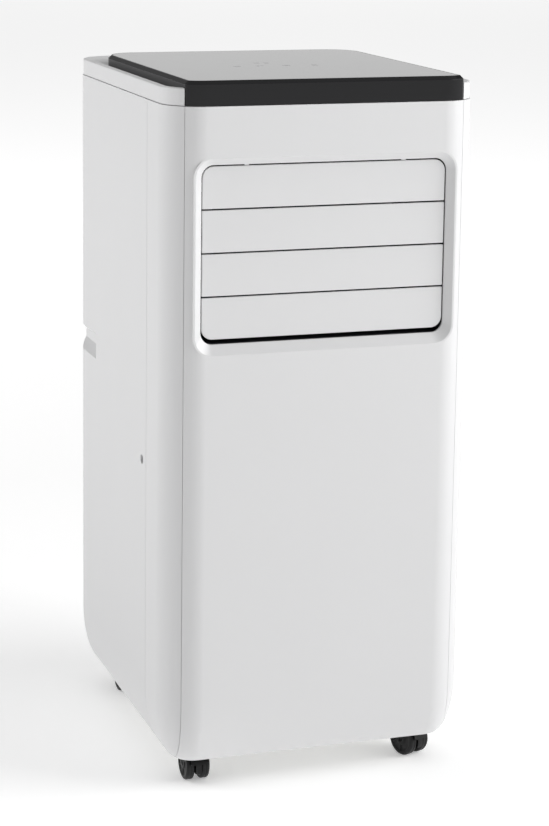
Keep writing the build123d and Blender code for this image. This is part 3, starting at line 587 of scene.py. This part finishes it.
class AIRCON_OT_casters(Operator):
    """Builds the four twin-wheel casters"""
    bl_idname = "aircon.casters"
    bl_label = "Casters"

    def execute(self, context):
        sizes = context.scene.aircon_sizes
        for corner in CORNERS:
            softened(f"caster_fork_{corner}", f"caster_fork_{corner}_shell", 0.5 * MM, 2)
            self.wheels(corner, sizes)
        return {"FINISHED"}

    def wheels(self, corner, sizes):
        """Two ribbed wheels on an axle, turned to the way their fork points."""
        centre, axle = joint_at(f"roll_{corner}")
        bm = bmesh.new()
        outline = [(3.5, 2.4), (3.5, 15.2), (4.0, 16.4), (5.0, 17.0), (6.9, 17.0), (7.2, 16.6), (8.3, 16.6),
                   (8.6, 17.0), (10.2, 17.0), (11.4, 16.3), (12.0, 15.0), (12.0, 13.2), (11.4, 12.8),
                   (11.0, 12.4), (11.0, 6.6), (11.4, 6.2), (12.0, 5.8), (12.0, 3.4), (11.6, 3.0), (10.6, 2.4)]
        for side in (-1, 1):
            wheel = add_turned(bm, outline, 56)
            for rib in range(sizes.wheel_spokes):
                low, high = (10.4, -0.8, 6.0), (11.8, 0.8, 12.9)
                made = add_box(bm, low, high)
                soften(bm, made, 0.3 * MM, 1)
                made = [v for v in bm.verts if v.is_valid and v not in wheel and not v.tag]
                move(bm, made, Matrix.Rotation(rib * tau / sizes.wheel_spokes, 4, "X"))
                for vert in made:
                    vert.tag = True
            new = [v for v in bm.verts if not v.select]
            if side < 0:
                move(bm, new, Matrix.Rotation(pi, 4, "Z"))
            for vert in new:
                vert.select = True
                vert.tag = True
        add_rod(bm, (-11.2, 0, 0), (11.2, 0, 0), 2.5)
        turn = X.rotation_difference(axle).to_matrix().to_4x4()
        move(bm, bm.verts, Matrix.Translation(centre) @ turn)
        finish_piece(bm, f"caster_wheels_{corner}_ribbed", f"wheels_{corner}", "caster_plastic",
                     [f"caster_wheels_{corner}"])


class AIRCON_OT_screws(Operator):
    """Builds the cross-headed casing screws"""
    bl_idname = "aircon.screws"
    bl_label = "Screws"

    def execute(self, context):
        _, high = [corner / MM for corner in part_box("casing_screws")]
        half_width, back = high.x, high.y
        bm = bmesh.new()
        for side in (-1, 1):
            turn = Matrix.Rotation(0 if side > 0 else pi, 4, "Z")
            self.screw(bm, Matrix.Translation(Vector((side * half_width, *SIDE_SCREW)) * MM) @ turn)
        quarter = Matrix.Rotation(pi / 2, 4, "Z")
        for x in (-REAR_SCREW_X, REAR_SCREW_X):
            for z in REAR_SCREW_Z:
                self.screw(bm, Matrix.Translation(Vector((x, back, z)) * MM) @ quarter)
        finish_piece(bm, "casing_screws_crossed", "body", "screw_steel", ["casing_screws"])
        return {"FINISHED"}

    def screw(self, bm, place):
        """A pan head with a cross recess and a plain shank with a pointed tip, facing +X at the origin."""
        known = set(bm.verts)
        wide, arm = 0.55, 2.1
        cross = [(arm, wide), (wide, wide), (wide, arm), (-wide, arm), (-wide, wide), (-arm, wide),
                 (-arm, -wide), (-wide, -wide), (-wide, -arm), (wide, -arm), (wide, -wide), (arm, -wide)]
        top = [bm.verts.new(Vector((0, y, z)) * MM) for y, z in cross]
        rim = [bm.edges.new((a, b)) for a, b in zip(top, top[1:] + top[:1])]
        floor = bmesh.ops.extrude_edge_only(bm, edges=rim)["geom"]
        floor_verts = [v for v in floor if isinstance(v, bmesh.types.BMVert)]
        shrink = Matrix.Translation((-1.5 * MM, 0, 0)) @ Matrix.Diagonal((1, 0.72, 0.72, 1))
        move(bm, floor_verts, shrink)
        bmesh.ops.contextual_create(bm, geom=[e for e in floor if isinstance(e, bmesh.types.BMEdge)])
        quarter = Matrix.Rotation(pi / 2, 4, "Y")
        dome = bmesh.ops.create_circle(bm, cap_ends=False, segments=24, radius=3.0 * MM, matrix=quarter)
        ring = list({e for v in dome["verts"] for e in v.link_edges})
        bmesh.ops.bridge_loops(bm, edges=rim + ring)
        for out, back in ((3.7, -0.35), (4.0, -1.1), (4.0, -2.5), (1.95, -2.5), (1.95, -13.2), (0.5, -14.0)):
            grown = bmesh.ops.extrude_edge_only(bm, edges=ring)["geom"]
            verts = [v for v in grown if isinstance(v, bmesh.types.BMVert)]
            radius = max(Vector((0, v.co.y, v.co.z)).length for v in verts)
            scale = out * MM / radius
            level = back * MM - verts[0].co.x
            move(bm, verts, Matrix.Translation((level, 0, 0)) @ Matrix.Diagonal((1, scale, scale, 1)))
            ring = [e for e in grown if isinstance(e, bmesh.types.BMEdge)]
        bmesh.ops.contextual_create(bm, geom=ring)
        move(bm, [v for v in bm.verts if v not in known], place)


class AIRCON_OT_plugs(Operator):
    """Builds the drain plugs and the cable grommet"""
    bl_idname = "aircon.plugs"
    bl_label = "Plugs and grommet"

    def execute(self, context):
        for node, body in (("tray_drain_plug", "tray_plug"), ("pan_drain_plug", "pan_plug")):
            low, high = [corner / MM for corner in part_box(node)]
            long = high.y - low.y
            outline = [(0.0, 0.0), (0.0, 5.0), (0.8, 5.9), (3.5, 5.9), (4.2, 5.4), (5.0, 5.9), (8.0, 5.9),
                       (8.7, 5.4), (9.5, 5.9), (11.9, 5.9), (long - 2.2, 5.9), (long - 2.2, 9.9),
                       (long - 1.7, 10.5), (long - 0.5, 10.5), (long, 9.9), (long, 7.4), (long - 0.9, 6.6),
                       (long - 0.9, 0.0)]
            bm = bmesh.new()
            add_turned(bm, outline, 48, False)
            grip = add_box(bm, (long - 1.5, -1.1, -6.9), (long, 1.1, 6.9))
            soften(bm, grip, 0.5 * MM)
            centre = (low + high) / 2
            place = Matrix.Translation(Vector((centre.x, low.y, centre.z)) * MM)
            move(bm, bm.verts, place @ Matrix.Rotation(pi / 2, 4, "Z"))
            finish_piece(bm, f"{node}_ribbed", body, "rubber", [node])
        low, high = [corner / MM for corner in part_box("cable_gland")]
        long = high.y - low.y
        outline = [(0.0, 3.6), (0.0, 8.6), (0.5, 9.0), (3.1, 9.0), (3.1, 11.5), (3.6, 12.0), (5.6, 12.0),
                   (6.0, 11.6), (6.0, 9.0), (long - 0.6, 9.0), (long, 8.4), (long, 5.4), (long - 0.7, 4.6),
                   (long - 0.7, 3.6)]
        bm = bmesh.new()
        add_turned(bm, outline, 48)
        core = add_rod(bm, (1.0, 0, 0), (4.0, 0, 0), 3.7)
        soften(bm, core, 0.3 * MM)
        centre = (low + high) / 2
        place = Matrix.Translation(Vector((centre.x, low.y, centre.z)) * MM)
        move(bm, bm.verts, place @ Matrix.Rotation(pi / 2, 4, "Z"))
        finish_piece(bm, "cable_gland_ribbed", "body", "rubber", ["cable_gland"])
        return {"FINISHED"}


class AIRCON_OT_coils(Operator):
    """Builds the finned coils with their bent tubes"""
    bl_idname = "aircon.coils"
    bl_label = "Coils"

    def execute(self, context):
        pitch = context.scene.aircon_sizes.fin_pitch
        for node in ("evaporator_coil", "condenser_coil"):
            low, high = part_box(node)
            self.fins(node, low, high, pitch)
            self.tubes(node, low / MM, high / MM)
        return {"FINISHED"}

    def fins(self, node, low, high, pitch):
        """Thin fins between two end plates."""
        half = COIL_HALF
        bm = bmesh.new()
        count = int(2 * (half * MM - 2 * MM) / pitch)
        start = -(count - 1) * pitch / 2 / MM
        low, high = low / MM, high / MM
        for index in range(count):
            x = start + index * pitch / MM
            add_box(bm, (x - 0.12, low.y, low.z), (x + 0.12, high.y, high.z))
        for side in (-1, 1):
            x0, x1 = sorted((side * (half - 1.2), side * half))
            add_box(bm, (x0, low.y, low.z), (x1, high.y, high.z))
        finish_piece(bm, f"{node}_fins", "body", "coil_fins", [node])

    def tubes(self, node, low, high):
        """Rows of tube through the fins, joined by bends at both ends."""
        bm = bmesh.new()
        centre_y = (low.y + high.y) / 2
        first = TUBE_PITCH / 2
        rows = int((high.z - low.z - first) // TUBE_PITCH) + 1
        reach = BEND_X + 1
        for index in range(rows):
            z = low.z + first + index * TUBE_PITCH
            for y in (centre_y - TUBE_OUT, centre_y + TUBE_OUT):
                add_rod(bm, (-reach, y, z), (reach, y, z), 3.9, 16)
            for side in (-1, 1):
                self.bend(bm, side, centre_y, z)
        finish_piece(bm, f"{node}_tubes", "body", "copper")

    def bend(self, bm, side, y, z):
        """A half-turn of tube between two neighbouring tube ends."""
        known = set(bm.verts)
        start = Vector((side * BEND_X, y - TUBE_OUT, z)) * MM
        place = Matrix.Translation(start) @ Matrix.Rotation(pi / 2, 4, "Y")
        ring = bmesh.ops.create_circle(bm, cap_ends=True, segments=16, radius=3.4 * MM, matrix=place)["verts"]
        faces = list({f for v in ring for f in v.link_faces})
        edges = list({e for v in ring for e in v.link_edges})
        middle = Vector((side * BEND_X, y, z)) * MM
        bmesh.ops.spin(bm, geom=faces + edges + ring, cent=middle, axis=Z, angle=-side * pi, steps=12)
        flat = [v for v in bm.verts if v not in known]
        seat = side * BEND_X * MM
        squeeze = Matrix.Translation((seat, 0, 0)) @ Matrix.Diagonal((0.62, 1, 1, 1))
        move(bm, flat, squeeze @ Matrix.Translation((-seat, 0, 0)))


class AIRCON_OT_finishes(Operator):
    """Gives every frame piece that still shows its finish"""
    bl_idname = "aircon.finishes"
    bl_label = "Finishes"

    def execute(self, context):
        for node, item in frame["nodes"].items():
            item.data.materials.clear()
            item.data.materials.append(MATERIALS[SLOTS[node]])
        return {"FINISHED"}


class AIRCON_OT_stage(Operator):
    """Sets up the floor, the lights and the camera"""
    bl_idname = "aircon.stage"
    bl_label = "Stage"

    def execute(self, context):
        studio = context.scene.aircon_studio
        self.floor(studio)
        self.softbox("Key light", (3.3, -1.6, 2.0), 2.6, studio.key_power)
        self.softbox("Side light", (-3.1, 1.4, 2.0), 2.2, studio.side_power)
        self.softbox("Top light", (0.0, -0.4, 5.0), 8.0, studio.top_power)
        self.softbox("Rear card", (6.3, 18.0, 2.6), 8.0, studio.rear_power)
        world = bpy.data.worlds.new("Room")
        context.scene.world = world
        world.use_nodes = True
        world.node_tree.nodes["Background"].inputs["Color"].default_value = (1.0, 1.0, 1.0, 1.0)
        world.node_tree.nodes["Background"].inputs["Strength"].default_value = studio.surround
        self.camera(context)
        context.scene.view_settings.view_transform = "Standard"
        return {"FINISHED"}

    def floor(self, studio):
        """A plain pale floor."""
        bm = bmesh.new()
        bmesh.ops.create_grid(bm, x_segments=1, y_segments=1, size=studio.floor_size / 2)
        mesh = bpy.data.meshes.new("floor")
        bm.to_mesh(mesh)
        bm.free()
        graph = Graph("Floor_white")
        grain = graph.noise(graph.place(), 120.0, 3.0)
        white = graph.blend(grain, (0.90, 0.90, 0.90), (0.92, 0.92, 0.92))
        across, along, _ = graph.axes(graph.place())
        away = (across.power(2.0) + along.power(2.0)).power(0.5)
        glow = graph.blend((away - 1.0) * 0.4, (0.50, 0.50, 0.50), (1.0, 1.0, 1.0))
        mesh.materials.append(graph.surface(Base_Color=white, Roughness=0.9, Emission_Color=glow,
                                            Emission_Strength=studio.floor_glow))
        floor = bpy.data.objects.new("floor", mesh)
        bpy.context.scene.collection.objects.link(floor)

    def softbox(self, name, where, size, power):
        """A square light aimed at the middle of the unit, not seen by the camera."""
        light = bpy.data.lights.new(name, "AREA")
        light.shape = "SQUARE"
        light.size = size
        light.energy = power
        lamp = bpy.data.objects.new(name, light)
        lamp.location = where
        aim = Vector((0, 0, 0.4)) - Vector(where)
        lamp.rotation_euler = aim.to_track_quat("-Z", "Y").to_euler()
        lamp.visible_camera = False
        bpy.context.scene.collection.objects.link(lamp)

    def camera(self, context):
        """A long lens from the front, a little left and above."""
        data = bpy.data.cameras.new("Camera")
        data.sensor_width = 36.0
        data.lens = 98.17
        data.shift_x, data.shift_y = 0.05, -0.20
        yaw, pitch, roll = radians(17.752), radians(9.741), radians(0.589)
        ahead = Vector((sin(yaw) * cos(pitch), cos(yaw) * cos(pitch), -sin(pitch)))
        right = Vector((cos(yaw), -sin(yaw), 0))
        up = right.cross(ahead)
        right, up = cos(roll) * right + sin(roll) * up, cos(roll) * up - sin(roll) * right
        camera = bpy.data.objects.new("Camera", data)
        camera.matrix_world = Matrix((right, up, -ahead)).transposed().to_4x4()
        camera.location = (-0.7292, -2.1671, 0.9004)
        context.scene.collection.objects.link(camera)
        context.scene.camera = camera


class AIRCON_PT_panel(Panel):
    """Lists the building steps"""
    bl_idname = "AIRCON_PT_panel"
    bl_label = "Portable air conditioner"
    bl_space_type = "VIEW_3D"
    bl_region_type = "UI"
    bl_category = "Air conditioner"

    def draw(self, context):
        for step in STEPS:
            self.layout.operator(step.bl_idname)
        for group in (context.scene.aircon_sizes, context.scene.aircon_colours, context.scene.aircon_studio):
            for name in group.__annotations__:
                self.layout.prop(group, name)


GROUPS = {"aircon_sizes": AirconSizes, "aircon_colours": AirconColours, "aircon_studio": AirconStudio}
STEPS = (AIRCON_OT_finishes, AIRCON_OT_casings, AIRCON_OT_louvres, AIRCON_OT_touch_marks, AIRCON_OT_casters,
         AIRCON_OT_screws, AIRCON_OT_plugs, AIRCON_OT_coils, AIRCON_OT_stage)


def register():
    """Registers the settings, the steps and the panel."""
    for name, group in GROUPS.items():
        bpy.utils.register_class(group)
        setattr(bpy.types.Scene, name, PointerProperty(type=group))
    for item in (*STEPS, AIRCON_PT_panel):
        bpy.utils.register_class(item)


def unregister():
    """Removes them again."""
    for item in reversed((*STEPS, AIRCON_PT_panel)):
        bpy.utils.unregister_class(item)
    for name, group in GROUPS.items():
        delattr(bpy.types.Scene, name)
        bpy.utils.unregister_class(group)


def main():
    register()
    MATERIALS.update(make_materials(bpy.context.scene.aircon_colours))
    for step in STEPS:
        group, name = step.bl_idname.split(".")
        getattr(getattr(bpy.ops, group), name)()


if __name__ == "__main__":
    main()
